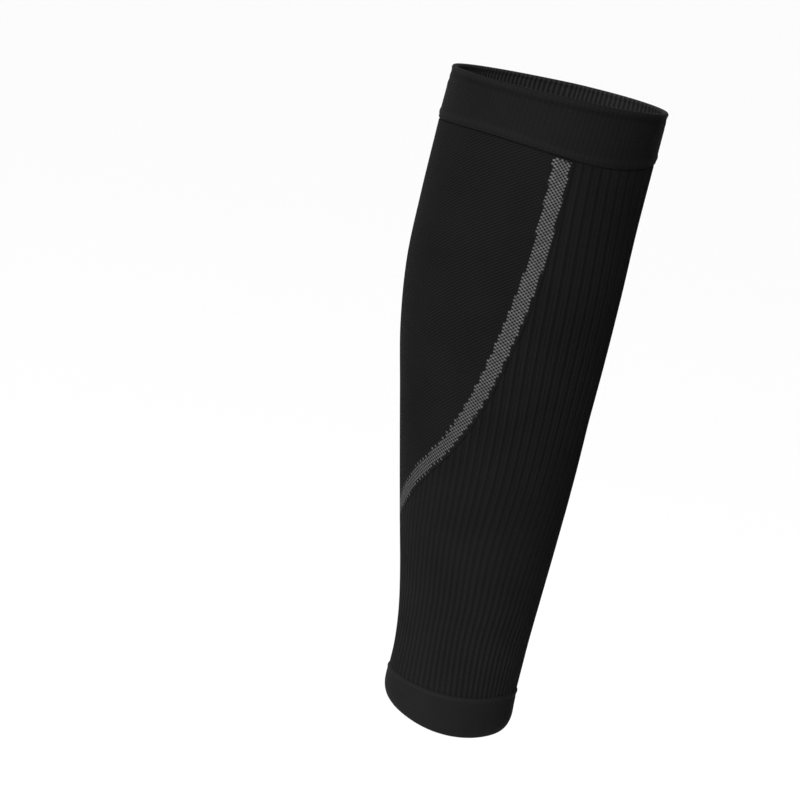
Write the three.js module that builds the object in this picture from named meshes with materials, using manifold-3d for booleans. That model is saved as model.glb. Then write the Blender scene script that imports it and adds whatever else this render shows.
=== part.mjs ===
// A calf compression sleeve: one knitted tube, in the filled-out form that it has on a leg.
// Millimetres. +Z runs up the leg, +X points to the shin, and the origin lies on the leg's
// axis where the calf is fullest.

import * as THREE from 'three';
import Module from 'manifold-3d';

// Lengths along the leg
const SLEEVE_LENGTH = 345; // from the rim behind the sides to the hem at the shin
const RIM_RISE = 0.9; // how much higher the rim lies at the back
const RIM_DIP = 4.4; // how much lower the rim lies at the shin
const KNEE_CUFF_HEIGHT = 30.8; // on average
const KNEE_SEAM_WAVES = [-3.4, 1, 1.3]; // the seam's rise in one, two and three waves round
const ANKLE_CUFF_HEIGHT = 22.8; // at the shin
const ANKLE_SEAM_RISE = 1.4; // how much higher the ankle's seam lies at the back
const ANKLE_DIP = 3.6; // how much lower the ankle's seam and hem lie at the sides
const HEM_RISE = 6.2; // how much higher the hem lies at the back
const CALF_SEAT = 0.7; // share of the length where the calf is fullest

// Outer sizes of the leg's form: depth from shin to calf, width from side to side
const ANKLE = { depth: 70, width: 63 };
const CALF = { depth: 115, width: 107 };
const KNEE = { depth: 115.5, width: 110 };

// Knitted walls
const SHIN_WALL = 1.4; // at the crest of a rib
const CALF_WALL = 1.2;
const STRIPE_WALL = 1.3;
const CUFF_WALL = 2; // two layers
const CUFF_PROUD = 0.4; // how far a cuff's face stands out of the panels
const SEAM_GAP = 0.3; // clearance between neighbouring zones of the knit

// Ribs, edges and seams
const RIB_COUNT = 72;
const RIB_HEIGHT = 0.55;
const RIM_BEAD = 2.8; // thickness of the turned edge at the rim
const RIDGE_PROUD = 0.45; // how far the raised line at each cuff's seam stands out of its face
const KNEE_RIDGE = { rise: 3.6, width: 4 }; // rise of its middle above the seam
const ANKLE_RIDGE = { rise: -1.2, width: 2.4 };
const HEM_TURN = 10; // height over which the ankle cuff's edge turns inwards
const HEM_TURN_IN = 5; // how far it turns inwards

// The contour stripe
const STRIPE_WIDTH = 8.4;
const STRIPE_TIP = 1.2; // the arms' edges end one stitch apart at the back

// Fineness of the facets
const PANEL_ROWS = 14;
const SMOOTH_COLUMNS = 72;
const LINING_COLUMNS = 48;
const CUFF_COLUMNS = 60;
const PATH_STEPS = 30;
const WEDGE_COLUMNS = 24;
const ARC_STEPS = 4;

// The leg's form. height is a share of the sleeve's length above the hem; stage goes from the
// ankle's size (0) over the calf's (1) to the knee's (2); shin is the share of the depth that
// lies in front of the axis; widest is how far in front of the middle the section is widest,
// as a share of the depth.
const SECTIONS = [
  { height: 0.0, stage: 0.0, shin: 0.49, widest: 0.0 },
  { height: 0.05, stage: 0.0, shin: 0.49, widest: 0.0 },
  { height: 0.1, stage: 0.0, shin: 0.504, widest: -0.01 },
  { height: 0.15, stage: 0.042, shin: 0.508, widest: -0.02 },
  { height: 0.2, stage: 0.125, shin: 0.504, widest: -0.02 },
  { height: 0.3, stage: 0.33, shin: 0.487, widest: -0.02 },
  { height: 0.4, stage: 0.53, shin: 0.472, widest: -0.02 },
  { height: 0.5, stage: 0.71, shin: 0.456, widest: -0.01 },
  { height: 0.6, stage: 0.895, shin: 0.445, widest: 0.0 },
  { height: 0.7, stage: 1.0, shin: 0.445, widest: 0.01 },
  { height: 0.8, stage: 1.4, shin: 0.457, widest: 0.03 },
  { height: 0.9, stage: 1.7, shin: 0.477, widest: 0.06 },
  { height: 1.0, stage: 2.0, shin: 0.497, widest: 0.08 },
];

// The stripe's middle line on one side, mirrored on the other. height as above; angle is
// measured round the leg in degrees, from the shin (0) to the back of the calf (180); width is
// a share of the full width. The first row only leads the line on past the back.
const STRIPE_PATH = [
  { height: 0.27, angle: 205, width: 0.76 },
  { height: 0.312, angle: 180, width: 0.76 },
  { height: 0.326, angle: 169.3, width: 0.76 },
  { height: 0.35, angle: 157, width: 0.76 },
  { height: 0.4, angle: 135.2, width: 0.77 },
  { height: 0.44, angle: 119.6, width: 0.79 },
  { height: 0.48, angle: 109.1, width: 0.82 },
  { height: 0.53, angle: 100, width: 0.88 },
  { height: 0.58, angle: 94, width: 0.94 },
  { height: 0.64, angle: 88.8, width: 1.0 },
  { height: 0.71, angle: 84.9, width: 1.0 },
  { height: 0.78, angle: 84.2, width: 1.0 },
  { height: 0.85, angle: 86, width: 1.0 },
  { height: 1.0, angle: 93, width: 1.0 },
];

const { lerp, degToRad } = THREE.MathUtils;

const heightToZ = (share) => (share - CALF_SEAT) * SLEEVE_LENGTH;
const zToHeight = (z) => z / SLEEVE_LENGTH + CALF_SEAT;
const RIM_Z = heightToZ(1);
const HEM_Z = heightToZ(0);
const KNEE_SEAM_Z = RIM_Z - KNEE_CUFF_HEIGHT;
const ANKLE_SEAM_Z = HEM_Z + ANKLE_CUFF_HEIGHT;

// Heights round the leg, by the angle from the shin. The rim is lowest at the shin, and the hem
// and both seams are highest at the back.
const frontness = (angle) => (1 + Math.cos(angle)) / 2;
const backness = (angle) => (1 - Math.cos(angle)) / 2;
const sideDip = (angle) => ANKLE_DIP * Math.sin(angle) ** 2;
const rimAt = (angle) => RIM_Z + RIM_RISE - (RIM_RISE + RIM_DIP) * frontness(angle) ** 0.85;
const kneeSeamAt = (angle) => KNEE_SEAM_WAVES.reduce(
  (z, rise, i) => z + rise * Math.cos((i + 1) * angle),
  KNEE_SEAM_Z,
);
const ankleSeamAt = (angle) => ANKLE_SEAM_Z + ANKLE_SEAM_RISE * backness(angle) - sideDip(angle);
const hemAt = (angle) => HEM_Z + HEM_RISE * backness(angle) ** 2.5 - sideDip(angle);

// Smooth lookup in a table's columns by its height column.
function smoothTable(rows, columns) {
  const heights = rows.map((row) => row.height);
  const values = rows.flatMap((row) => columns.map((column) => row[column]));
  return new THREE.CubicInterpolant(heights, values, columns.length, new Array(columns.length));
}

const legForm = smoothTable(SECTIONS, ['stage', 'shin', 'widest']);
const stripePath = smoothTable(STRIPE_PATH, ['angle', 'width']);

// A size of the leg at a stage: ankle 0, calf 1, knee 2.
function sizeAtStage(stage, side) {
  return stage < 1
    ? lerp(ANKLE[side], CALF[side], stage)
    : lerp(CALF[side], KNEE[side], stage - 1);
}

// The leg's section at a height: an egg, made of a front and a back half ellipse that share
// their widest line.
function sectionAt(z) {
  const [stage, shin, widest] = legForm.evaluate(zToHeight(z));
  const depth = sizeAtStage(stage, 'depth');
  const front = shin * depth;
  const back = front - depth;
  const centre = (front + back) / 2 + widest * depth;
  return {
    centre,
    frontReach: front - centre,
    backReach: centre - back,
    halfWidth: sizeAtStage(stage, 'width') / 2,
  };
}

// A point at an angle round the leg and a height, standing out of the leg's form by a distance.
function legPoint(angle, z, out) {
  const { centre, frontReach, backReach, halfWidth } = sectionAt(z);
  const reach = Math.cos(angle) > 0 ? frontReach : backReach;
  return new THREE.Vector3(
    centre + (reach + out) * Math.cos(angle),
    (halfWidth + out) * Math.sin(angle),
    z,
  );
}

// Distance walked round the leg for each radian at this place.
function girthRate(angle, z) {
  const step = degToRad(1);
  return legPoint(angle + step, z, 0).distanceTo(legPoint(angle - step, z, 0)) / (2 * step);
}

// Both diagonals' triangles between two rows of a closed loop of points.
function wallBetween(lower, upper, count) {
  const triangles = [];
  for (let i = 0; i < count; i += 1) {
    const next = (i + 1) % count;
    triangles.push(lower + i, lower + next, upper + next, lower + i, upper + next, upper + i);
  }
  return triangles;
}

// A closed body through flat loops of points, one above the other.
function loft(loops) {
  const count = loops[0].length;
  const index = [];
  for (let row = 0; row + 1 < loops.length; row += 1) {
    index.push(...wallBetween(row * count, (row + 1) * count, count));
  }
  const last = (loops.length - 1) * count;
  const capOf = (loop) => THREE.ShapeUtils.triangulateShape(
    loop.map((point) => new THREE.Vector2(point.x, point.y)),
    [],
  );
  for (const [a, b, c] of capOf(loops[0])) index.push(c, b, a);
  for (const [a, b, c] of capOf(loops[loops.length - 1])) index.push(last + a, last + b, last + c);
  return geometryOf(loops.flat(), index);
}

// A closed ring round the leg. profile(angle) gives its section as points { z, out } that run
// up the outside and down the inside.
function ring(profile) {
  const loops = [];
  for (let column = 0; column < CUFF_COLUMNS; column += 1) {
    const angle = (column / CUFF_COLUMNS) * 2 * Math.PI;
    loops.push(profile(angle).map(({ z, out }) => legPoint(angle, z, out)));
  }
  const count = loops[0].length;
  const index = loops.flatMap((loop, column) => {
    const next = (column + 1) % loops.length;
    return wallBetween(next * count, column * count, count);
  });
  return geometryOf(loops.flat(), index);
}

function geometryOf(points, index) {
  const geometry = new THREE.BufferGeometry().setFromPoints(points);
  geometry.setIndex(index);
  geometry.computeVertexNormals();
  return geometry;
}

const wasm = await Module();
wasm.setup();

function solidFrom(geometry) {
  return new wasm.Manifold(new wasm.Mesh({
    numProp: 3,
    vertProperties: new Float32Array(geometry.attributes.position.array),
    triVerts: new Uint32Array(geometry.index.array),
  }));
}

function geometryFrom(solid) {
  const { vertProperties, triVerts } = solid.getMesh();
  const geometry = new THREE.BufferGeometry();
  geometry.setAttribute('position', new THREE.BufferAttribute(vertProperties, 3));
  geometry.setIndex(new THREE.BufferAttribute(triVerts, 1));
  geometry.computeVertexNormals();
  return geometry;
}

// The leg's form between the two seams, longer at both ends by a distance and grown or shrunk
// by outAt(column).
function legBody(columns, longer, outAt) {
  const loops = [];
  for (let row = 0; row <= PANEL_ROWS; row += 1) {
    const loop = [];
    for (let column = 0; column < columns; column += 1) {
      const angle = (column / columns) * 2 * Math.PI;
      const z = lerp(ankleSeamAt(angle) - longer, kneeSeamAt(angle) + longer, row / PANEL_ROWS);
      loop.push(legPoint(angle, z, outAt(column)));
    }
    loops.push(loop);
  }
  return solidFrom(loft(loops));
}

// A knitted tube between the cuffs. Its hollow runs past both ends, so that it opens there.
function panelTube(columns, wall, outAt) {
  const hollow = legBody(LINING_COLUMNS, CUFF_WALL, () => -wall);
  return legBody(columns, -SEAM_GAP, outAt).subtract(hollow);
}

// One edge of the stripe from the rim down to the back, on the calf's side (1) or the shin's
// (-1), or a line that lies outside that edge by a clearance. Each point is { angle, z }.
function stripeEdge(side, clearance) {
  const edge = [];
  const bottom = STRIPE_PATH[0].height;
  for (let step = 0; step <= PATH_STEPS; step += 1) {
    const height = lerp(1, bottom, step / PATH_STEPS);
    const point = stripeEdgePoint(height, side, clearance);
    const lastAngle = Math.PI - STRIPE_TIP / 2 / girthRate(Math.PI, point.z);
    if (point.angle >= lastAngle) {
      const before = edge[edge.length - 1];
      const share = (lastAngle - before.angle) / (point.angle - before.angle);
      edge.push({ angle: lastAngle, z: lerp(before.z, point.z, share) });
      break;
    }
    edge.push(point);
  }
  edge[0].z = RIM_Z;
  return edge;
}

function stripeEdgePoint(height, side, clearance) {
  const nearby = 0.002;
  const angleAt = (share) => degToRad(stripePath.evaluate(share)[0]);
  const angle = angleAt(height);
  const halfWidth = (STRIPE_WIDTH / 2) * stripePath.evaluate(height)[1];
  const shift = side * (halfWidth + clearance);
  const z = heightToZ(height);
  const rate = girthRate(angle, z);
  const down = new THREE.Vector2(
    (angleAt(height - nearby) - angleAt(height + nearby)) * rate,
    -2 * nearby * SLEEVE_LENGTH,
  ).normalize();
  return { angle: angle - (down.y * shift) / rate, z: z + down.x * shift };
}

// A wedge from the leg's axis out past the wall that holds all that lies behind an edge.
function wedgeBehind(edge) {
  const pastWall = 4 * CUFF_WALL;
  const loops = edge.map(({ angle, z }) => {
    const loop = [new THREE.Vector3(sectionAt(z).centre, 0, z)];
    for (let column = 0; column <= WEDGE_COLUMNS; column += 1) {
      loop.push(legPoint(lerp(angle, 2 * Math.PI - angle, column / WEDGE_COLUMNS), z, pastWall));
    }
    return loop;
  });
  return solidFrom(loft(loops.reverse()));
}

// The ribbed panel over the shin and all of the lower leg, up to the stripe's front edge.
function shinPanel() {
  const tube = panelTube(2 * RIB_COUNT, SHIN_WALL, (column) => (column % 2 ? -RIB_HEIGHT : 0));
  return geometryFrom(tube.subtract(wedgeBehind(stripeEdge(-1, SEAM_GAP))));
}

// The stripe down both sides, whose arms meet in a point at the back.
function contourStripe() {
  const tube = panelTube(SMOOTH_COLUMNS, STRIPE_WALL, () => 0);
  const band = tube.intersect(wedgeBehind(stripeEdge(-1, 0)));
  return geometryFrom(band.subtract(wedgeBehind(stripeEdge(1, 0))));
}

// The smooth panel over the back of the calf.
function calfPanel() {
  const tube = panelTube(SMOOTH_COLUMNS, CALF_WALL, () => 0);
  return geometryFrom(tube.intersect(wedgeBehind(stripeEdge(1, SEAM_GAP))));
}

// Points of an arc in a ring's section, from one angle to another, in degrees from outwards.
function arc(centreZ, centreOut, radius, from, to) {
  const points = [];
  for (let step = 0; step <= ARC_STEPS; step += 1) {
    const angle = degToRad(lerp(from, to, step / ARC_STEPS));
    points.push({
      z: centreZ + radius * Math.sin(angle),
      out: centreOut + radius * Math.cos(angle),
    });
  }
  return points;
}

// The raised line along a cuff's seam, as three points of the cuff's outer face.
function seamRidge(seamZ, { rise, width }) {
  const z = seamZ + rise;
  return [
    { z: z - width / 2, out: CUFF_PROUD },
    { z, out: CUFF_PROUD + RIDGE_PROUD },
    { z: z + width / 2, out: CUFF_PROUD },
  ];
}

// The double cuff below the knee, with its ridge above the seam and its turned edge.
function kneeCuff() {
  const inside = CUFF_PROUD - CUFF_WALL;
  const beadOut = CUFF_PROUD - CUFF_WALL / 2;
  return ring((angle) => {
    const seamZ = kneeSeamAt(angle);
    const beadZ = rimAt(angle) - RIM_BEAD / 2;
    return [
      { z: seamZ, out: 0 },
      ...seamRidge(seamZ, KNEE_RIDGE),
      { z: beadZ - RIM_BEAD, out: CUFF_PROUD },
      ...arc(beadZ, beadOut, RIM_BEAD / 2, -30, 210),
      { z: beadZ - RIM_BEAD, out: inside },
      { z: seamZ, out: inside },
    ];
  });
}

// The plain cuff at the ankle, with its ridge at the seam and its edge turned inwards.
function ankleCuff() {
  const inside = CUFF_PROUD - CUFF_WALL;
  return ring((angle) => [
    ...turnedEdge(hemAt(angle), 0).reverse(),
    ...seamRidge(ankleSeamAt(angle), ANKLE_RIDGE),
    { z: ankleSeamAt(angle), out: inside },
    ...turnedEdge(hemAt(angle), CUFF_WALL),
  ]);
}

// The turned edge's outer face, or its inner face at a depth below it, from the straight wall
// down to the hem.
function turnedEdge(hemZ, depth) {
  const points = [];
  const lastTurn = degToRad(65);
  const height = HEM_TURN / Math.sin(lastTurn);
  for (let step = 0; step <= ARC_STEPS; step += 1) {
    const turn = lerp(0, lastTurn, step / ARC_STEPS);
    const inwards = HEM_TURN_IN * (1 - Math.cos(turn));
    points.push({
      z: hemZ + HEM_TURN - (height - depth) * Math.sin(turn),
      out: CUFF_PROUD - inwards - depth * Math.cos(turn),
    });
  }
  return points;
}

function addPiece(sleeve, name, geometry, color, roughness) {
  const material = new THREE.MeshStandardMaterial({ color, roughness, metalness: 0 });
  const mesh = new THREE.Mesh(geometry, material);
  mesh.name = name;
  sleeve.add(mesh);
}

const sleeve = new THREE.Group();
addPiece(sleeve, 'knee_cuff', kneeCuff(), 0x1f1f1f, 0.85);
addPiece(sleeve, 'shin_panel', shinPanel(), 0x191919, 0.9);
addPiece(sleeve, 'calf_panel', calfPanel(), 0x1c1c1c, 0.88);
addPiece(sleeve, 'contour_stripe', contourStripe(), 0x5c5c5c, 0.85);
addPiece(sleeve, 'ankle_cuff', ankleCuff(), 0x202020, 0.82);

export default sleeve;
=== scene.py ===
"""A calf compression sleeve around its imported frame: five zones of black knit, each a closed
wall of cloth wrapped round the leg's form, with their ribs, seams, turned edges and stitches.

Lengths are in millimetres up to the point where a mesh is made, and angles are in degrees
round the leg, from the shin (0) to the back of the calf (180)."""

import math

import bpy
import numpy as np
from mathutils import Matrix


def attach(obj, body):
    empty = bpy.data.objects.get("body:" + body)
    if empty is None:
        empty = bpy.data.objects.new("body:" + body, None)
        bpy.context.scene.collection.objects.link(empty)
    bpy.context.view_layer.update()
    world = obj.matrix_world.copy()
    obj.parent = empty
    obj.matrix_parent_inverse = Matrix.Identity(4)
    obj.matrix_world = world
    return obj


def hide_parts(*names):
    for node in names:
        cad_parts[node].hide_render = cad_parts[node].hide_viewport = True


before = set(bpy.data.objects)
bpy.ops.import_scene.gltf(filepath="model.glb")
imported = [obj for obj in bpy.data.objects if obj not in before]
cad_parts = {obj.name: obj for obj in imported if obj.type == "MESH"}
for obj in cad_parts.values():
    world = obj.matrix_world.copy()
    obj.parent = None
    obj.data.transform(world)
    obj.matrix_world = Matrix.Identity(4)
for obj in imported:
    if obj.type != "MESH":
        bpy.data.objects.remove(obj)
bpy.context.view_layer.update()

MM = 0.001

# The sleeve's lengths and sizes, as the solids have them
SLEEVE_LENGTH = 345
RIM_RISE = 0.9
RIM_DIP = 4.4
RIM_CURVE = 0.85
KNEE_CUFF_HEIGHT = 30.8
KNEE_SEAM_WAVES = (-3.4, 1, 1.3)
ANKLE_CUFF_HEIGHT = 22.8
ANKLE_SEAM_RISE = 1.4
ANKLE_DIP = 3.6
HEM_RISE = 6.2
HEM_CURVE = 2.5
CALF_SEAT = 0.7
ANKLE_DEPTH, ANKLE_WIDTH = 70, 63
CALF_DEPTH, CALF_WIDTH = 115, 107
KNEE_DEPTH, KNEE_WIDTH = 115.5, 110
STRIPE_WIDTH = 8.4

# Cloth and edges
PANEL_WALL = 1.3
CUFF_WALL = 2
CUFF_PROUD = 0.4
SEAM_DEPTH = 0.75
SEAM_ROUNDING = 0.9
SHIN_LOWER_TUCK = 0.25
ANKLE_SEAM_DEPTH = 0.3
ANKLE_SEAM_ROUNDING = 1.5
RIM_BEAD = 2.8
RIM_BEAD_SET_IN = 0.2
RIM_DRAWN_IN = 0.7
HEM_TURN = 10
HEM_TURN_IN = 6
HEM_LAST_TURN = 65
KNEE_CUFF_EASE = 0.12
ANKLE_CUFF_EASE = 0.08
STRIPE_MARGIN = 1.8
STRIPE_TOP_GAP = 1.5

# Middle, half width and rise of the ridges and grooves that run round the cuffs
KNEE_RIDGE = (3.6, 2.3, 0.4)
RIM_GROOVE = (3.9, 1.9, -0.2)
FAINT_GROOVE = (7.6, 1.6, -0.18)
FAINT_RIDGE = (10.2, 2, 0.12)
ANKLE_RIDGE = (1.5, 1.5, 0.25)
ANKLE_GROOVE = (3.8, 1.4, -0.1)

# Middle, half width and strength of the painted highlights along the ridges and the rim's bead,
# and of the painted shadow along the rim's groove
KNEE_RIDGE_HIGHLIGHT = (3.6, 2.6, 1.0)
RIM_BEAD_HIGHLIGHT = (1.2, 2, 1.2)
RIM_GROOVE_SHADOW = (4.2, 2, -0.9)
ANKLE_RIDGE_HIGHLIGHT = (1.3, 1.8, 1.0)

# Ribs and stitches
RIB_COUNT = 72
WALES = 288
COURSE = 0.95
COURSE_RISE = 9
CUFF_WALES = 264
CUFF_SPREAD = 0.42
CUFF_DASHES_PER_COURSE = 0.81
LINING_RIB = 0.4
LINING_RIB_FADE = 3

# Rounds in which a point's angle and height, which depend on each other, settle
SHIN_ROUNDS = 14
EDGE_ROUNDS = 8

# Finishes: the darkest and lightest grey of each cloth, and how glossy it is
CALF_GREYS = (0.0032, 0.0112)
RIB_GREYS = (0.0042, 0.0094)
CUFF_GREYS = (0.0034, 0.0112)
# the lining's greys are set well above the outer cloth's to paint the light that falls on the
# inside wall
LINING_GREYS_WITH_PAINTED_LIGHT = (0.008, 0.034)
ANKLE_GREYS = (0.0056, 0.0148)
STRIPE_GREYS = (0.0035, 0.008)
STRIPE_LIGHT = 0.07
KNIT_GLOSS = 0.06
CALF_GLOSS = 0.03
FUZZ_SCALE = 2600.0

# Height, stage (ankle 0, calf 1, knee 2), share of the depth before the axis, and how far before
# the middle the section is widest
SECTIONS = np.array([
    (0.0, 0.0, 0.49, 0.0),
    (0.05, 0.0, 0.49, 0.0),
    (0.1, 0.0, 0.504, -0.01),
    (0.15, 0.042, 0.508, -0.02),
    (0.2, 0.125, 0.504, -0.02),
    (0.3, 0.33, 0.487, -0.02),
    (0.4, 0.53, 0.472, -0.02),
    (0.5, 0.71, 0.456, -0.01),
    (0.6, 0.895, 0.445, 0.0),
    (0.7, 1.0, 0.445, 0.01),
    (0.8, 1.4, 0.457, 0.03),
    (0.9, 1.7, 0.477, 0.06),
    (1.0, 2.0, 0.497, 0.08),
])

# Height and angle of the stripe's middle line, and its share of the full width
STRIPE_PATH = np.array([
    (0.27, 205, 0.76),
    (0.312, 180, 0.76),
    (0.326, 169.3, 0.76),
    (0.35, 157, 0.76),
    (0.4, 135.2, 0.77),
    (0.44, 119.6, 0.79),
    (0.48, 109.1, 0.82),
    (0.53, 100, 0.88),
    (0.58, 94, 0.94),
    (0.64, 88.8, 1.0),
    (0.71, 84.9, 1.0),
    (0.78, 84.2, 1.0),
    (0.85, 86, 1.0),
    (1.0, 93, 1.0),
])

# Height, how much further apart the ribs lie at the shin, and how many degrees they turn round
RIB_DRIFT = np.array([
    (0.0, -0.2, 23.5),
    (0.05, -0.16, 21.5),
    (0.1, -0.08, 18.9),
    (0.15, -0.01, 14.6),
    (0.2, 0.05, 9.4),
    (0.25, 0.11, 5.3),
    (0.3, 0.15, 1.6),
    (0.35, 0.17, -2.3),
    (0.4, 0.19, -5.8),
    (0.45, 0.22, -8.7),
    (0.5, 0.25, -10.8),
    (0.6, 0.32, -13.9),
    (0.7, 0.365, -15.2),
    (0.8, 0.4, -14.0),
    (0.9, 0.436, -11.6),
    (1.0, 0.44, -9.5),
])

# Height, depth of the valley between two ribs and of the groove down each rib's middle
RIB_DEPTHS = np.array([
    (0.0, 0.5, 0.0),
    (0.12, 0.6, 0.03),
    (0.22, 0.42, 0.08),
    (0.31, 0.28, 0.14),
    (0.4, 0.55, 0.42),
    (0.48, 0.8, 0.66),
    (0.66, 0.9, 0.7),
    (0.78, 0.75, 0.55),
    (1.0, 0.65, 0.45),
])


# The leg's form


def height_to_z(height):
    """Millimetres above the calf's fullest part, for a height from 0 (hem) to 1 (rim)."""
    return (height - CALF_SEAT) * SLEEVE_LENGTH


def z_to_height(z):
    return z / SLEEVE_LENGTH + CALF_SEAT


def smooth_lookup(table, heights, column):
    """A smooth curve through one column of a table, whose first column is the height."""
    nodes, values = table[:, 0], table[:, column]
    heights = np.clip(heights, nodes[0], nodes[-1])
    rises = np.diff(values) / np.diff(nodes)
    slopes = np.concatenate([rises[:1], (rises[:-1] + rises[1:]) / 2, rises[-1:]])
    i = np.clip(np.searchsorted(nodes, heights, "right") - 1, 0, len(nodes) - 2)
    run = nodes[i + 1] - nodes[i]
    p = (heights - nodes[i]) / run
    return (
        (2 * p**3 - 3 * p**2 + 1) * values[i]
        + (p**3 - 2 * p**2 + p) * run * slopes[i]
        + (3 * p**2 - 2 * p**3) * values[i + 1]
        + (p**3 - p**2) * run * slopes[i + 1]
    )


def size_at_stage(stage, ankle, calf, knee):
    return np.where(stage < 1, ankle + (calf - ankle) * stage, calf + (knee - calf) * (stage - 1))


def section_sizes():
    """Height, front, back, half width and widest line of each section."""
    height, stage, shin, widest = SECTIONS.T
    depth = size_at_stage(stage, ANKLE_DEPTH, CALF_DEPTH, KNEE_DEPTH)
    half_width = size_at_stage(stage, ANKLE_WIDTH, CALF_WIDTH, KNEE_WIDTH) / 2
    front = shin * depth
    middle = front - depth / 2 + widest * depth
    return np.stack([height, front, front - depth, half_width, middle], axis=1)


SIZES = section_sizes()


def leg_point(angle, z, out):
    """Points at an angle round the leg and a height, standing out of its form by a distance."""
    height = z_to_height(z)
    front, back, half_width, middle = (smooth_lookup(SIZES, height, i) for i in (1, 2, 3, 4))
    turn = np.radians(angle)
    reach = np.where(np.cos(turn) > 0, front - middle, middle - back)
    return np.stack(
        [middle + (reach + out) * np.cos(turn), (half_width + out) * np.sin(turn), z], axis=-1
    )


def girth_rate(angle, z):
    """Millimetres walked round the leg for each degree."""
    ahead, behind = leg_point(angle + 0.5, z, 0.0), leg_point(angle - 0.5, z, 0.0)
    return np.linalg.norm(ahead - behind, axis=-1)


def backness(angle):
    return (1 - np.cos(np.radians(angle))) / 2


def frontness(angle):
    return (1 + np.cos(np.radians(angle))) / 2


def rim_at(angle):
    return height_to_z(1) + RIM_RISE - (RIM_RISE + RIM_DIP) * frontness(angle) ** RIM_CURVE


def knee_seam_at(angle):
    waves = sum(
        rise * np.cos((i + 1) * np.radians(angle)) for i, rise in enumerate(KNEE_SEAM_WAVES)
    )
    return height_to_z(1) - KNEE_CUFF_HEIGHT + waves


def side_dip(angle):
    return ANKLE_DIP * np.sin(np.radians(angle)) ** 2


def ankle_seam_at(angle):
    level = height_to_z(0) + ANKLE_CUFF_HEIGHT
    return level + ANKLE_SEAM_RISE * backness(angle) - side_dip(angle)


def hem_at(angle):
    return height_to_z(0) + HEM_RISE * backness(angle) ** HEM_CURVE - side_dip(angle)


# The stripe's edges


def stripe_edge(side, clearance):
    """Heights and angles of the stripe's edge towards the calf (1) or the shin (-1), or of a
    line outside it."""
    heights = np.linspace(STRIPE_PATH[0, 0], 1, 400)
    angle, z = smooth_lookup(STRIPE_PATH, heights, 1), height_to_z(heights)
    half_width = STRIPE_WIDTH / 2 * smooth_lookup(STRIPE_PATH, heights, 2)
    shift = side * (half_width + clearance)
    rate = girth_rate(angle, z)
    along = np.gradient(angle) * rate
    up = np.gradient(z)
    length = np.hypot(along, up)
    shifted_angle = angle + up / length * shift / rate
    shifted_z = z - along / length * shift
    order = np.argsort(shifted_z)
    return shifted_z[order], shifted_angle[order]


def edge_angle(edge, z):
    return np.minimum(np.interp(z, edge[0], edge[1]), 180.0)


SHIN_EDGE = stripe_edge(-1, 0)
CALF_EDGE = stripe_edge(1, 0)
SHIN_MARGIN = stripe_edge(-1, STRIPE_MARGIN)
CALF_MARGIN = stripe_edge(1, STRIPE_MARGIN)


def edge_tip(edge):
    """The height where an edge reaches the back of the calf."""
    return float(np.interp(-180.0, -edge[1], edge[0]))


def depth_in_stripe(angle, z):
    """How far a place lies inside the grey band, in millimetres, below 0 outside it."""
    rate = girth_rate(angle, z)

    def beside(edge):
        reached = np.interp(z, edge[0], edge[1])
        slant = (np.interp(z + 1, edge[0], edge[1]) - np.interp(z - 1, edge[0], edge[1])) / 2
        return (angle - reached) * rate / np.sqrt(1 + (slant * rate) ** 2)

    below_seam = knee_seam_at(angle) - STRIPE_TOP_GAP - z
    return np.minimum(np.minimum(beside(SHIN_EDGE), -beside(CALF_EDGE)), below_seam)


# The knit's stitches, counted round the leg and up it


def drift_at(z):
    """How much further apart the ribs lie at the shin, and how far they turn round."""
    height = z_to_height(z)
    return smooth_lookup(RIB_DRIFT, height, 1), smooth_lookup(RIB_DRIFT, height, 2)


def even_angle(angle, z):
    """The angle that a place's rib would have if all ribs were even and ran straight up."""
    spread, turn = drift_at(z)
    return angle - np.degrees(spread * np.sin(np.radians(angle))) + turn


def courses_up(angle, z):
    return (z - COURSE_RISE * backness(angle)) / COURSE


def calf_stitches(angle, z):
    return angle * WALES / 360, courses_up(angle, z)


def rib_stitches(angle, z):
    return even_angle(angle, z) * WALES / 360, courses_up(angle, z)


def cuff_stitches(angle, z):
    even = angle - np.degrees(CUFF_SPREAD * np.sin(np.radians(angle)))
    return even * CUFF_WALES / 360, courses_up(angle, z)


def ankle_stitches(angle, z):
    return even_angle(angle, z) * WALES / 360, z / COURSE


# Making cloth


def wrap_grid(name, columns, rows, place, stitches_at):
    """A flat grid of cells wrapped round the leg. place(column, row) gives each point's angle,
    height and distance out of the leg's form, and stitches_at(angle, z) its place in the knit.
    Points that fall together are merged."""
    bpy.ops.object.select_all(action="DESELECT")
    bpy.ops.mesh.primitive_grid_add(x_subdivisions=columns, y_subdivisions=rows, size=1)
    cloth = bpy.context.object
    cloth.name = cloth.data.name = name
    mesh = cloth.data
    flat = np.empty(len(mesh.vertices) * 3)
    mesh.vertices.foreach_get("co", flat)
    flat = flat.reshape(-1, 3)
    column = np.rint((flat[:, 0] + 0.5) * columns).astype(int)
    row = np.rint((flat[:, 1] + 0.5) * rows).astype(int)
    angle, z, out = place(column, row)
    mesh.vertices.foreach_set("co", (leg_point(angle, z, out) * MM).ravel())
    stitches = np.stack(stitches_at(angle, z), axis=-1)
    mesh.uv_layers[0].name = "stitches"
    mesh.uv_layers[0].data.foreach_set("uv", stitches[corner_points(mesh)].ravel())
    close_cloth(cloth)
    return cloth


def corner_points(mesh):
    """The point at each corner of each face."""
    points = np.empty(len(mesh.loops), dtype=np.int32)
    mesh.loops.foreach_get("vertex_index", points)
    return points


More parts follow.
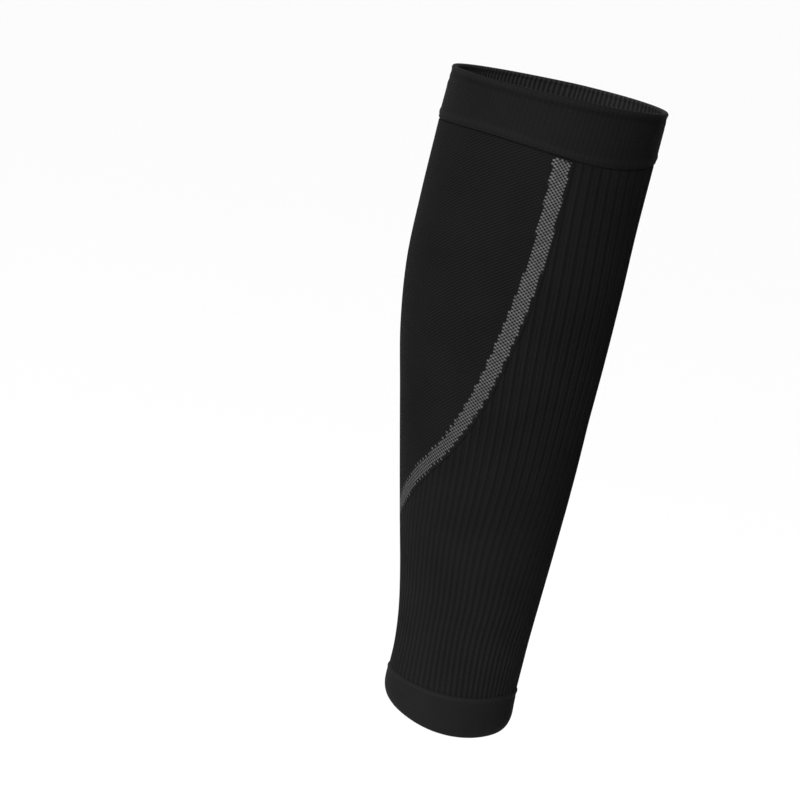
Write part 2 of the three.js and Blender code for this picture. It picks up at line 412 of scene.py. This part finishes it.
def close_cloth(cloth):
    """Merges points that fall together, drops faces without a size and smooths the shading."""
    bpy.context.view_layer.objects.active = cloth
    bpy.ops.object.mode_set(mode="EDIT")
    bpy.ops.mesh.select_all(action="SELECT")
    bpy.ops.mesh.remove_doubles(threshold=0.00001)
    bpy.ops.mesh.dissolve_degenerate(threshold=0.000005)
    bpy.ops.mesh.select_all(action="DESELECT")
    bpy.ops.object.mode_set(mode="OBJECT")
    bpy.ops.object.shade_smooth_by_angle(angle=math.radians(50))


def panel_levels(count, lower_tuck=SEAM_DEPTH):
    """Rows of a panel from seam to seam: the share of the way up, a distance from that seam and
    how deep the cloth tucks in there."""
    tucks = ((0, 1.0), (0.25, 0.53), (0.6, 0.2), (1.2, 0.0))
    lower = [(0, offset, lower_tuck * tuck) for offset, tuck in tucks]
    middle = [(share, 0, 0) for share in np.linspace(0, 1, count + 2)[1:-1]]
    upper = [(1, -offset, SEAM_DEPTH * tuck) for offset, tuck in reversed(tucks)]
    return np.array(lower + middle + upper)


def wall_rows(levels, row):
    """The level's share, offset and tuck and the side of the wall for each row of a grid that
    runs up the outside, over the top and down the inside to where it began."""
    count = len(levels)
    row = row % (2 * count)
    inner = row >= count
    share, offset, tuck = levels[np.where(inner, 2 * count - 1 - row, row)].T
    return share, offset, tuck, inner


def wall_rows_to_tip(levels, row):
    """The same for a piece that narrows to a tip below, where the cloth doesn't tuck in."""
    share, offset, tuck, inner = wall_rows(levels, row)
    return share, np.where(share == 0, 0, offset), np.where(share == 0, 0, tuck), inner


def rib_profile(angle, z):
    """How far the ribbed cloth lies below its crests: a valley between ribs, and a groove down
    the middle of each rib."""
    wave = np.cos(np.radians(even_angle(angle, z) * RIB_COUNT))
    height = z_to_height(z)
    valley = smooth_lookup(RIB_DEPTHS, height, 1) * (0.5 - 0.5 * wave) ** 2
    return valley + smooth_lookup(RIB_DEPTHS, height, 2) * np.maximum(wave, 0) ** 2


def make_shin_panel():
    """The ribbed zone: closed round the lower leg, and open at the back above the stripe's tip."""
    columns = 8 * RIB_COUNT
    levels = panel_levels(92, SHIN_LOWER_TUCK)
    tip = edge_tip(SHIN_MARGIN)
    # one row passes through the point where the panel opens round the stripe
    lowest, highest = ankle_seam_at(180.0), knee_seam_at(180.0)
    tip_share = (tip - lowest) / (highest - lowest)
    levels[np.argmin(np.abs(levels[:, 0] - tip_share)), 0] = tip_share - 0.00001
    last_even = even_angle(180.0, tip)

    def place(column, row):
        share, offset, tuck, inner = wall_rows(levels, row)
        even = last_even - 360 + column / columns * 360
        angle = even
        for _ in range(SHIN_ROUNDS):
            z = ankle_seam_at(angle) * (1 - share) + knee_seam_at(angle) * share + offset
            spread, turn = drift_at(z)
            angle = even + np.degrees(spread * np.sin(np.radians(angle))) - turn
            limit = edge_angle(SHIN_MARGIN, z)
            open_here = limit < 180
            angle = np.where(open_here, np.clip(angle, -limit, limit), angle)
        out = -tuck - rib_profile(angle, z) * (1 - tuck / SEAM_DEPTH)
        out = np.where(inner, np.minimum(out, 0) - PANEL_WALL, out)
        closing = open_here & ((column == 0) | (column == columns))
        return angle, z, np.where(closing, -PANEL_WALL, out)

    return wrap_grid("shin_ribs", columns, 2 * len(levels), place, rib_stitches)


def make_calf_panel():
    """The zone between the stripe's two arms, across the back of the calf."""
    columns = 150
    levels = panel_levels(90)
    tip = edge_tip(CALF_MARGIN)

    def place(column, row):
        share, offset, tuck, inner = wall_rows_to_tip(levels, row)
        across = np.clip((column - 1) / (columns - 2), 0, 1)
        limit = np.full(len(column), 90.0)
        for _ in range(EDGE_ROUNDS):
            angle = limit + across * (360 - 2 * limit)
            z = tip * (1 - share) + knee_seam_at(angle) * share + offset
            limit = edge_angle(CALF_MARGIN, z)
        closing = (column == 0) | (column == columns)
        out = np.where(inner, -PANEL_WALL, -tuck)
        return angle, z, np.where(closing, -PANEL_WALL / 2, out)

    return wrap_grid("calf_knit", columns, 2 * len(levels), place, calf_stitches)


def make_stripe_arm(name, side):
    """One arm of the stripe, from the knee seam to the tip, on one side of the leg (1 or -1)."""
    columns = 16
    levels = panel_levels(150)
    tip = edge_tip(SHIN_MARGIN)

    def place(column, row):
        share, offset, tuck, inner = wall_rows_to_tip(levels, row)
        step = column if side > 0 else columns - column
        across = np.clip((step - 1) / (columns - 2), 0, 1)
        angle = np.full(len(column), 90.0)
        for _ in range(EDGE_ROUNDS):
            z = tip * (1 - share) + knee_seam_at(angle) * share + offset
            first, last = edge_angle(SHIN_MARGIN, z), edge_angle(CALF_MARGIN, z)
            angle = first + across * (last - first)
        closing = (step == 0) | ((step == columns) & (last < 180))
        out = np.where(inner, -PANEL_WALL, -tuck)
        return side * angle, z, np.where(closing, -PANEL_WALL / 2, out)

    return wrap_grid(name, columns, 2 * len(levels), place, calf_stitches)


def make_stripe():
    arms = [make_stripe_arm("contour_band", 1), make_stripe_arm("contour_band_left", -1)]
    bpy.ops.object.select_all(action="DESELECT")
    for arm in arms:
        arm.select_set(True)
    bpy.context.view_layer.objects.active = arms[0]
    bpy.ops.object.join()
    band = arms[0]
    close_cloth(band)
    mark_grey_band(band)
    return band


def depth_at_stitch(across, up):
    angle = across * 360 / WALES
    z = up * COURSE + COURSE_RISE * backness(angle)
    return depth_in_stripe(np.abs(angle), z)


def mark_grey_band(band):
    """Stores, for each point, how deep it lies in the grey band and how that changes with one
    stitch sideways and one upwards, so that the finish can colour whole stitches."""
    mesh = band.data
    uv = np.empty(len(mesh.loops) * 2)
    mesh.uv_layers[0].data.foreach_get("uv", uv)
    stitches = np.zeros((len(mesh.vertices), 2))
    stitches[corner_points(mesh)] = uv.reshape(-1, 2)
    across, up = stitches.T
    here = depth_at_stitch(across, up)
    sideways = (depth_at_stitch(across + 1, up) - depth_at_stitch(across - 1, up)) / 2
    upwards = (depth_at_stitch(across, up + 1) - depth_at_stitch(across, up - 1)) / 2
    marks = mesh.attributes.new("grey_band", "FLOAT_VECTOR", "POINT")
    marks.data.foreach_set("vector", np.stack([here, sideways, upwards], axis=-1).ravel())


def line_round(distance, line, strength=1.0):
    """How far a soft-edged line raises a place at some distance from the rim or the seam."""
    middle, half_width, rise = line
    near = np.clip((distance - middle) / half_width, -1, 1)
    return rise * strength * np.cos(near * np.pi / 2) ** 2


def make_knee_cuff():
    """A double cuff with a rolled rim, and ribs down its lining."""
    columns = 2 * WALES
    inside = CUFF_PROUD - CUFF_WALL
    bead = RIM_BEAD / 2
    # rows up the outside, over the rim and down the inside, closest at the seam and the rim
    near_seam = [0, 0.15, 0.35, 0.6, 0.9, 1.2, 1.6, 2, 2.5, 3, 3.5, 4, 4.5, 5, 5.6, 6.3]
    near_rim = [8, 7.2, 6.4, 5.7, 5.1, 4.6, 4.1, 3.7, 3.3, 2.9, 2.5]
    outer = (
        [(0, height) for height in near_seam]
        + [(share, 0) for share in np.linspace(0.27, 0.69, 13)]
        + [(1, -drop) for drop in near_rim]
    )
    arc = np.radians(np.linspace(-35, 215, 19))
    inner = [(1, -2.6)] + [(share, 0) for share in np.linspace(0.86, 0, 14)]
    levels = np.array(outer + [(1, 0)] * len(arc) + inner)
    up, over = len(outer), len(arc)

    def place(column, row):
        row = row % len(levels)
        angle = column / columns * 360 - 180
        seam, rim = knee_seam_at(angle), rim_at(angle)
        share, offset = levels[row].T
        z = seam + (rim - seam) * share + offset
        height, below_rim = z - seam, rim - z
        rise = np.clip(height / SEAM_ROUNDING, 0, 1)
        out = -SEAM_DEPTH + (SEAM_DEPTH + CUFF_PROUD) * np.sqrt(1 - (1 - rise) ** 2)
        out += line_round(height, KNEE_RIDGE) + line_round(below_rim, RIM_GROOVE)
        # the faint lines are fainter still towards the shin
        strength = np.clip(0.6 - np.cos(np.radians(angle)), 0.25, 1)
        out += line_round(below_rim, FAINT_GROOVE, strength)
        out += line_round(below_rim, FAINT_RIDGE, strength)
        ring = (row >= up) & (row < up + over)
        turn = arc[np.clip(row - up, 0, over - 1)]
        z = np.where(ring, rim - bead + bead * np.sin(turn), z)
        bead_middle = CUFF_PROUD - CUFF_WALL / 2 - RIM_BEAD_SET_IN
        out = np.where(ring, bead_middle + bead * np.cos(turn), out)
        ribs = LINING_RIB * np.cos(np.pi / 2 * cuff_stitches(angle, z)[0]) ** 2
        lining = row >= up + over
        out = np.where(lining, inside - ribs * np.clip(below_rim / LINING_RIB_FADE, 0, 1), out)
        out -= RIM_DRAWN_IN * backness(angle) ** 4 * np.clip(height / (rim - seam), 0, 1)
        return angle, z, out + KNEE_CUFF_EASE * ease_marks(angle, z)

    cuff = wrap_grid("double_cuff", columns, len(levels), place, cuff_stitches)
    angle, z = places_round_leg(cuff)
    below_rim = rim_at(angle) - z
    # painted highlights on the knee seam's ridge and the rim's bead, and painted shadow in the
    # groove below the bead
    painted_light_and_shade = line_round(z - knee_seam_at(angle), KNEE_RIDGE_HIGHLIGHT) + line_round(below_rim, RIM_BEAD_HIGHLIGHT)
    mark_painted_light_and_shade(cuff, painted_light_and_shade + line_round(below_rim, RIM_GROOVE_SHADOW))
    return cuff


def places_round_leg(cloth):
    """Angle and height of each point."""
    points = np.empty(len(cloth.data.vertices) * 3)
    cloth.data.vertices.foreach_get("co", points)
    points = points.reshape(-1, 3) / MM
    return np.degrees(np.arctan2(points[:, 1], points[:, 0])), points[:, 2]


def mark_painted_light_and_shade(cuff, painted_light_and_shade):
    """Stores painted light and shade for each point, so that the finish can lighten it as a
    painted highlight on a ridge or bead and darken it as a painted shadow in a groove.
    """
    marks = cuff.data.attributes.new("painted_light_and_shade", "FLOAT", "POINT")
    marks.data.foreach_set("value", painted_light_and_shade)


def ease_marks(angle, z):
    """Slow swells of the cloth, from 1 to -1, where it eases over the leg."""
    turn = np.radians(angle)
    return (
        np.sin(3 * turn + z / 31 + 0.7)
        + np.sin(5 * turn - z / 19 + 2.1)
        + np.sin(9 * turn + z / 47 + 4.4)
    ) / 3


def make_ankle_cuff():
    """A plain cuff whose hem turns in under the leg."""
    columns = 2 * WALES
    inside = CUFF_PROUD - CUFF_WALL
    # rows below the seam, round the hem's turn, over its fold, and back up the inside
    below = np.array(
        [0, 0.12, 0.3, 0.55, 0.85, 1.2, 1.6, 2.0, 2.4, 2.8, 3.4, 4.2, 5.2, 6.4, 7.8, 9.4, 10.8]
    )
    near_end, far_end = 4, 12
    turns = np.radians(np.linspace(0, HEM_LAST_TURN, 14))
    fold = np.radians(np.linspace(20, 160, 6))
    inner_turns = np.radians(np.linspace(HEM_LAST_TURN, 0, 10))
    inner_below = np.linspace(10.8, 0, 8)
    counts = [len(below), len(turns), len(fold), len(inner_turns), len(inner_below)]
    starts = np.cumsum([0] + counts)
    total = starts[-1]

    def turned(hem, turn, depth):
        """The hem's turn, on its outer face or at a depth below that."""
        reach = HEM_TURN / math.sin(math.radians(HEM_LAST_TURN))
        z = hem + HEM_TURN - (reach - depth) * np.sin(turn)
        return z, CUFF_PROUD - HEM_TURN_IN * (1 - np.cos(turn)) - depth * np.cos(turn)

    def fall(height, straight):
        """Rows keep their distance near the seam and spread evenly over the rest."""
        spread = (height - near_end) / (far_end - near_end) * (straight - near_end)
        return np.where(height < near_end, height, near_end + spread)

    def place(column, row):
        row = row % total
        angle = 180 - column / columns * 360
        seam, hem = ankle_seam_at(angle), hem_at(angle)
        straight = seam - hem - HEM_TURN

        def part(i, values):
            here = (row >= starts[i]) & (row < starts[i + 1])
            return here, values[np.clip(row - starts[i], 0, counts[i] - 1)]

        here, height = part(0, below)
        z = seam - fall(height, straight)
        rise = np.minimum(height / ANKLE_SEAM_ROUNDING, 1)
        out = -ANKLE_SEAM_DEPTH + (ANKLE_SEAM_DEPTH + CUFF_PROUD) * rise * (2 - rise)
        out = out + line_round(height, ANKLE_RIDGE) + line_round(height, ANKLE_GROOVE)
        here, turn = part(1, turns)
        turned_z, turned_out = turned(hem, turn, 0)
        z, out = np.where(here, turned_z, z), np.where(here, turned_out, out)
        here, turn = part(2, fold)
        last = math.radians(HEM_LAST_TURN)
        outer_z, outer_out = turned(hem, last, 0)
        inner_z, inner_out = turned(hem, last, CUFF_WALL)
        share = (1 - np.cos(turn)) / 2
        bulge = CUFF_WALL / 2 * np.sin(turn)
        fold_z = outer_z + (inner_z - outer_z) * share - bulge * math.cos(last)
        fold_out = outer_out + (inner_out - outer_out) * share - bulge * math.sin(last)
        z, out = np.where(here, fold_z, z), np.where(here, fold_out, out)
        here, turn = part(3, inner_turns)
        turned_z, turned_out = turned(hem, turn, CUFF_WALL)
        z, out = np.where(here, turned_z, z), np.where(here, turned_out, out)
        here, height = part(4, inner_below)
        z = np.where(here, seam - fall(height, straight), z)
        out = np.where(here, inside, out)
        return angle, z, out + ANKLE_CUFF_EASE * ease_marks(angle, z)

    cuff = wrap_grid("plain_cuff", columns, total, place, ankle_stitches)
    angle, z = places_round_leg(cuff)
    # painted highlight along the cuff's ridge just below the seam
    mark_painted_light_and_shade(cuff, line_round(ankle_seam_at(angle) - z, ANKLE_RIDGE_HIGHLIGHT))
    return cuff


# Finishes


class Finish:
    """A material under construction: its nodes are added one by one and linked to the shader."""

    def __init__(self, name):
        self.material = bpy.data.materials.new(name)
        self.material.use_nodes = True
        self.tree = self.material.node_tree
        self.shader = self.tree.nodes["Principled BSDF"]
        self.shader.inputs["Metallic"].default_value = 0.0

    def node(self, kind, **settings):
        made = self.tree.nodes.new(kind)
        for name, value in settings.items():
            setattr(made, name, value)
        return made

    def feed(self, socket, value):
        if isinstance(value, (int, float)):
            socket.default_value = value
        else:
            self.tree.links.new(value, socket)

    def calc(self, operation, first, second=0.0, third=0.0):
        made = self.node("ShaderNodeMath", operation=operation)
        for socket, value in zip(made.inputs, (first, second, third)):
            self.feed(socket, value)
        return made.outputs[0]

    def split(self, vector):
        parts = self.node("ShaderNodeSeparateXYZ")
        self.tree.links.new(vector, parts.inputs[0])
        return parts.outputs["X"], parts.outputs["Y"], parts.outputs["Z"]

    def stitches(self):
        """Stitches counted round the leg and up it."""
        uv = self.node("ShaderNodeUVMap", uv_map="stitches")
        across, up, _ = self.split(uv.outputs["UV"])
        return across, up

    def marks(self, name, output):
        """What a piece stores for each of its points under a name."""
        return self.node("ShaderNodeAttribute", attribute_name=name).outputs[output]

    def cosine(self, turns):
        return self.calc("COSINE", self.calc("MULTIPLY", turns, 2 * math.pi))

    def height(self):
        """The height above the origin, in metres."""
        place = self.node("ShaderNodeTexCoord")
        return self.split(place.outputs["Object"])[2]

    def noise(self, scale, detail):
        place = self.node("ShaderNodeTexCoord")
        made = self.node("ShaderNodeTexNoise")
        made.inputs["Scale"].default_value = scale
        made.inputs["Detail"].default_value = detail
        made.inputs["Roughness"].default_value = 0.6
        self.tree.links.new(place.outputs["Object"], made.inputs["Vector"])
        return made.outputs["Fac"]

    def cloudy(self, scale):
        """Slow changes of tone over the cloth."""
        return self.noise(scale, 3.0)

    def fuzz(self):
        """The yarn's loose fibres."""
        return self.noise(FUZZ_SCALE, 2.0)

    def weighted(self, *terms):
        """The sum of values, each times its weight."""
        total = None
        for value, weight in terms:
            if total is None:
                total = self.calc("MULTIPLY", value, weight)
            else:
                total = self.calc("MULTIPLY_ADD", value, weight, total)
        return total

    def ramp(self, value, source, result):
        """Goes from one end of the result to the other as a value does so in the source."""
        made = self.node("ShaderNodeMapRange", clamp=True)
        self.feed(made.inputs["Value"], value)
        made.inputs["From Min"].default_value, made.inputs["From Max"].default_value = source
        made.inputs["To Min"].default_value, made.inputs["To Max"].default_value = result
        return made.outputs["Result"]

    def colour(self, grey):
        made = self.node("ShaderNodeCombineColor")
        for socket in made.inputs:
            self.feed(socket, grey)
        self.tree.links.new(made.outputs[0], self.shader.inputs["Base Color"])

    def relief(self, height, distance):
        bump = self.node("ShaderNodeBump")
        bump.inputs["Distance"].default_value = distance * MM
        bump.inputs["Strength"].default_value = 1.0
        self.feed(bump.inputs["Height"], height)
        self.tree.links.new(bump.outputs["Normal"], self.shader.inputs["Normal"])

    def roughness(self, value):
        self.feed(self.shader.inputs["Roughness"], value)

    def gloss(self, level):
        self.shader.inputs["Specular IOR Level"].default_value = level


def chevrons(finish, across, up):
    """The V of each knitted stitch: 1 along its yarn, -1 between the yarns."""
    legs = finish.calc("PINGPONG", across, 0.5)
    return finish.cosine(finish.calc("ADD", up, legs))


def birds_eye(finish, across, up, rising, falling):
    """Stitches standing out in a checkerboard, drawn out along both diagonals."""
    half_across = finish.calc("MULTIPLY", across, 0.5)
    half_up = finish.calc("MULTIPLY", up, 0.5)
    return finish.weighted(
        (finish.cosine(finish.calc("SUBTRACT", half_across, half_up)), rising),
        (finish.cosine(finish.calc("ADD", half_across, half_up)), falling),
    )


def make_calf_finish():
    finish = Finish("birds_eye_black")
    across, up = finish.stitches()
    eyes = birds_eye(finish, across, up, 0.7, 0.3)
    gaps = finish.cosine(across)
    cloudy = finish.cloudy(28.0)
    fuzz = finish.fuzz()
    tone = finish.weighted((eyes, 0.54), (gaps, 0.14), (cloudy, 0.7), (fuzz, 0.6))
    finish.colour(finish.ramp(tone, (-0.1, 1.4), CALF_GREYS))
    finish.roughness(finish.ramp(tone, (0.0, 1.4), (0.92, 0.78)))
    finish.relief(finish.weighted((eyes, 0.6), (gaps, 0.1), (fuzz, 0.3)), 0.18)
    finish.gloss(CALF_GLOSS)
    return finish.material


def make_rib_finish():
    finish = Finish("ribbed_black")
    across, up = finish.stitches()
    vees = chevrons(finish, across, up)
    gaps = finish.cosine(across)
    ribs = finish.cosine(finish.calc("MULTIPLY", across, RIB_COUNT / WALES))
    cloudy = finish.cloudy(30.0)
    fuzz = finish.fuzz()
    tone = finish.weighted((vees, 0.2), (gaps, 0.15), (ribs, 0.2), (cloudy, 0.7), (fuzz, 0.6))
    yarn = finish.ramp(tone, (0.2, 1.2), RIB_GREYS)
    # the ribbed cloth is coloured lighter towards the ankle
    lighter_towards_ankle = finish.ramp(finish.height(), (-0.225, -0.11), (1.34, 1.0))
    finish.colour(finish.calc("MULTIPLY", yarn, lighter_towards_ankle))
    finish.roughness(finish.ramp(tone, (0.2, 1.2), (0.93, 0.8)))
    finish.relief(finish.weighted((vees, 0.35), (gaps, 0.2), (fuzz, 0.35)), 0.14)
    finish.gloss(KNIT_GLOSS)
    return finish.material


def make_cuff_finish():
    finish = Finish("double_cuff_black")
    across, up = finish.stitches()
    columns = finish.cosine(finish.calc("MULTIPLY", across, 0.5))
    rows = finish.cosine(finish.calc("MULTIPLY", up, CUFF_DASHES_PER_COURSE))
    dashes = finish.calc("MULTIPLY", rows, finish.ramp(columns, (-0.8, 0.5), (0.0, 1.0)))
    # painted light and shade: highlights on the ridge and the rim's bead, shadow in the groove
    # below the bead
    painted_light_and_shade = finish.marks("painted_light_and_shade", "Fac")
    cloudy = finish.cloudy(24.0)
    fuzz = finish.fuzz()
    tone = finish.weighted(
        (dashes, 0.3), (columns, 0.11), (painted_light_and_shade, 0.26), (cloudy, 0.6), (fuzz, 0.5)
    )
    finish.colour(finish.ramp(tone, (0.0, 1.3), CUFF_GREYS))
    finish.roughness(finish.ramp(tone, (0.0, 1.3), (0.9, 0.75)))
    finish.relief(finish.weighted((dashes, 0.5), (columns, 0.3), (fuzz, 0.25)), 0.2)
    finish.gloss(KNIT_GLOSS)
    return finish.material


def make_lining_finish():
    finish = Finish("lining_black")
    across, up = finish.stitches()
    vees = chevrons(finish, across, up)
    columns = finish.cosine(finish.calc("MULTIPLY", across, 0.5))
    cloudy = finish.cloudy(24.0)
    fuzz = finish.fuzz()
    tone = finish.weighted((vees, 0.12), (columns, 0.42), (cloudy, 0.6), (fuzz, 0.5))
    # painted light: the inside wall is coloured lighter than the outer black to stand for the
    # light that reaches it
    finish.colour(finish.ramp(tone, (0.0, 1.2), LINING_GREYS_WITH_PAINTED_LIGHT))
    finish.roughness(0.85)
    finish.relief(finish.weighted((vees, 0.3), (columns, 0.4), (fuzz, 0.3)), 0.2)
    finish.gloss(KNIT_GLOSS)
    return finish.material


def make_ankle_finish():
    finish = Finish("plain_cuff_black")
    across, up = finish.stitches()
    vees = chevrons(finish, across, up)
    columns = finish.cosine(finish.calc("MULTIPLY", across, 0.5))
    # painted highlight on the ridge just below the seam
    painted_light_and_shade = finish.marks("painted_light_and_shade", "Fac")
    cloudy = finish.cloudy(30.0)
    fuzz = finish.fuzz()
    tone = finish.weighted((vees, 0.1), (columns, 0.08), (painted_light_and_shade, 0.3), (cloudy, 0.6), (fuzz, 0.4))
    finish.colour(finish.ramp(tone, (0.0, 1.2), ANKLE_GREYS))
    finish.roughness(finish.ramp(tone, (0.0, 1.2), (0.88, 0.74)))
    finish.relief(finish.weighted((vees, 0.2), (columns, 0.22), (fuzz, 0.25)), 0.12)
    finish.gloss(KNIT_GLOSS)
    return finish.material


def nearest_stitch(finish, across, up):
    """The nearest stitch of a checkerboard, counted along its two diagonals."""
    sum_half = finish.calc("MULTIPLY", finish.calc("ADD", across, up), 0.5)
    difference_half = finish.calc("MULTIPLY", finish.calc("SUBTRACT", across, up), 0.5)
    return finish.calc("ROUND", sum_half), finish.calc("ROUND", difference_half)


def whole_stitches(finish, across, up, first, second):
    """1 where the nearest stitch belongs to the grey band, and 0 elsewhere."""
    shift_across = finish.calc("SUBTRACT", finish.calc("ADD", first, second), across)
    shift_up = finish.calc("SUBTRACT", finish.calc("SUBTRACT", first, second), up)
    here, sideways, upwards = finish.split(finish.marks("grey_band", "Vector"))
    depth = finish.calc("MULTIPLY_ADD", sideways, shift_across, here)
    depth = finish.calc("MULTIPLY_ADD", upwards, shift_up, depth)
    # on a slanting edge every second column of stitches reaches further out
    odd = finish.cosine(finish.calc("MULTIPLY", finish.calc("ADD", first, second), 0.5))
    slant = finish.calc("ABSOLUTE", upwards)
    reach = finish.ramp(finish.height(), (-0.03, 0.02), (0.8, 0.0))
    depth = finish.calc("MULTIPLY_ADD", finish.calc("MULTIPLY", slant, odd), reach, depth)
    return finish.ramp(depth, (-0.05, 0.05), (0.0, 1.0))


def chance_of_stitch(finish, first, second):
    """A value from 0 to 1 that is the same all over one stitch."""
    counts = finish.node("ShaderNodeCombineXYZ")
    finish.feed(counts.inputs[0], first)
    finish.feed(counts.inputs[1], second)
    chance = finish.node("ShaderNodeTexWhiteNoise", noise_dimensions="2D")
    finish.tree.links.new(counts.outputs[0], chance.inputs["Vector"])
    return chance.outputs["Value"]


def make_stripe_finish():
    finish = Finish("grey_stitch_band")
    across, up = finish.stitches()
    eyes = birds_eye(finish, across, up, 0.44, 0.56)
    first, second = nearest_stitch(finish, across, up)
    inside = whole_stitches(finish, across, up, first, second)
    light = finish.ramp(eyes, (-0.5, 0.45), (0.0, 1.0))
    grey = finish.calc("MULTIPLY", inside, light)
    fuzz = finish.fuzz()
    yarn = finish.weighted((chance_of_stitch(finish, first, second), 0.035), (fuzz, 0.04))
    yarn = finish.calc("ADD", yarn, STRIPE_LIGHT)
    # the band is a little darker where it runs to the back
    yarn = finish.calc("MULTIPLY", yarn, finish.ramp(finish.height(), (-0.1, -0.02), (0.64, 0.92)))
    black = finish.ramp(finish.weighted((eyes, 0.5), (fuzz, 0.6)), (-0.3, 0.9), STRIPE_GREYS)
    finish.colour(finish.calc("MULTIPLY_ADD", grey, yarn, black))
    finish.roughness(0.82)
    finish.relief(finish.weighted((eyes, 0.5), (fuzz, 0.3)), 0.3)
    finish.gloss(KNIT_GLOSS)
    return finish.material


def line_inside(cloth):
    """Gives the faces that look inwards the second material."""
    inwards_from = -0.3
    mesh = cloth.data
    faces = len(mesh.polygons)
    normal, middle = np.empty(faces * 3), np.empty(faces * 3)
    mesh.polygons.foreach_get("normal", normal)
    mesh.polygons.foreach_get("center", middle)
    normal, middle = normal.reshape(-1, 3)[:, :2], middle.reshape(-1, 3)[:, :2]
    inwards = (normal * middle).sum(axis=1) < inwards_from * np.linalg.norm(middle, axis=1)
    mesh.polygons.foreach_set("material_index", inwards.astype(np.int32))


def wear_finish(cloth, materials, node):
    """Gives a piece its finish, on the outside and the inside, and its place in the frame."""
    for material in materials:
        cloth.data.materials.append(material)
    if len(materials) > 1:
        line_inside(cloth)
    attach(cloth, "root")
    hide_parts(node)


# The studio


def set_up(name, data, axes, place):
    """Puts a light or camera at a place, in metres, with its x, y and z along three axes."""
    world = np.eye(4)
    world[:3, :3] = np.stack(axes, axis=1)
    world[:3, 3] = place
    made = bpy.data.objects.new(name, data)
    bpy.context.scene.collection.objects.link(made)
    made.matrix_world = Matrix(world.tolist())
    return made


def add_key_light():
    place, aim = np.array([-0.8, -2.3, 0.9]), np.array([0, 0, -0.05])
    light = bpy.data.lights.new("key", "AREA")
    light.shape = "DISK"
    light.size = 1.6
    light.energy = 38
    away = (place - aim) / np.linalg.norm(place - aim)
    side = np.cross((0.0, 0.0, 1.0), away)
    side = side / np.linalg.norm(side)
    set_up("key", light, [side, np.cross(away, side), away], place)


def paint_stage(piece, name, grey, roughness):
    paint = Finish(name)
    paint.shader.inputs["Base Color"].default_value = (grey, grey, grey, 1)
    paint.roughness(roughness)
    piece.data.materials.append(paint.material)


def add_floor():
    bpy.ops.object.select_all(action="DESELECT")
    bpy.ops.mesh.primitive_plane_add(size=160, location=(0, 0, -0.75))
    floor = bpy.context.object
    floor.name = "floor"
    paint_stage(floor, "pale_floor", 0.97, 0.9)


def add_shade_card():
    """A dark card beyond the shin, out of the picture, that keeps light off that side."""
    bpy.ops.object.select_all(action="DESELECT")
    bpy.ops.mesh.primitive_plane_add(
        size=1, location=(0.38, 0.1, -0.05), rotation=(0, math.radians(90), 0), scale=(1.2, 1.2, 1)
    )
    card = bpy.context.object
    card.name = "shade_card"
    bpy.ops.object.transform_apply(location=True, rotation=True, scale=True)
    card.visible_camera = False
    paint_stage(card, "dark_card", 0.05, 1.0)


def add_camera():
    elevation, roll, distance = math.radians(9.9126), math.radians(10.0547), 1800.0
    aside, below, target_z = 54.741, -2.082, -68.0
    back = np.array([0, -math.cos(elevation), math.sin(elevation)])
    right = np.array([1.0, 0, 0])
    up = np.cross(back, right)
    x_axis = right * math.cos(roll) + up * math.sin(roll)
    y_axis = -right * math.sin(roll) + up * math.cos(roll)
    place = np.array([0, 0, target_z]) - aside * x_axis - below * y_axis + distance * back
    data = bpy.data.cameras.new("camera")
    data.lens = 152.873
    data.sensor_width = 36.0
    data.clip_end = 300.0
    bpy.context.scene.camera = set_up("camera", data, [x_axis, y_axis, back], place * MM)


def light_studio():
    world = bpy.data.worlds.new("studio")
    bpy.context.scene.world = world
    world.use_nodes = True
    sky = world.node_tree.nodes["Background"]
    sky.inputs["Color"].default_value = (1, 1, 1, 1)
    sky.inputs["Strength"].default_value = 1.0
    add_key_light()
    add_shade_card()
    bpy.context.scene.view_settings.view_transform = "Standard"


def dress_sleeve():
    lining = make_lining_finish()
    cuff, ribs, calf = make_cuff_finish(), make_rib_finish(), make_calf_finish()
    wear_finish(make_knee_cuff(), [cuff, lining], "knee_cuff")
    wear_finish(make_shin_panel(), [ribs, lining], "shin_panel")
    wear_finish(make_calf_panel(), [calf, lining], "calf_panel")
    wear_finish(make_stripe(), [make_stripe_finish()], "contour_stripe")
    wear_finish(make_ankle_cuff(), [make_ankle_finish()], "ankle_cuff")


dress_sleeve()
add_floor()
add_camera()
light_studio()
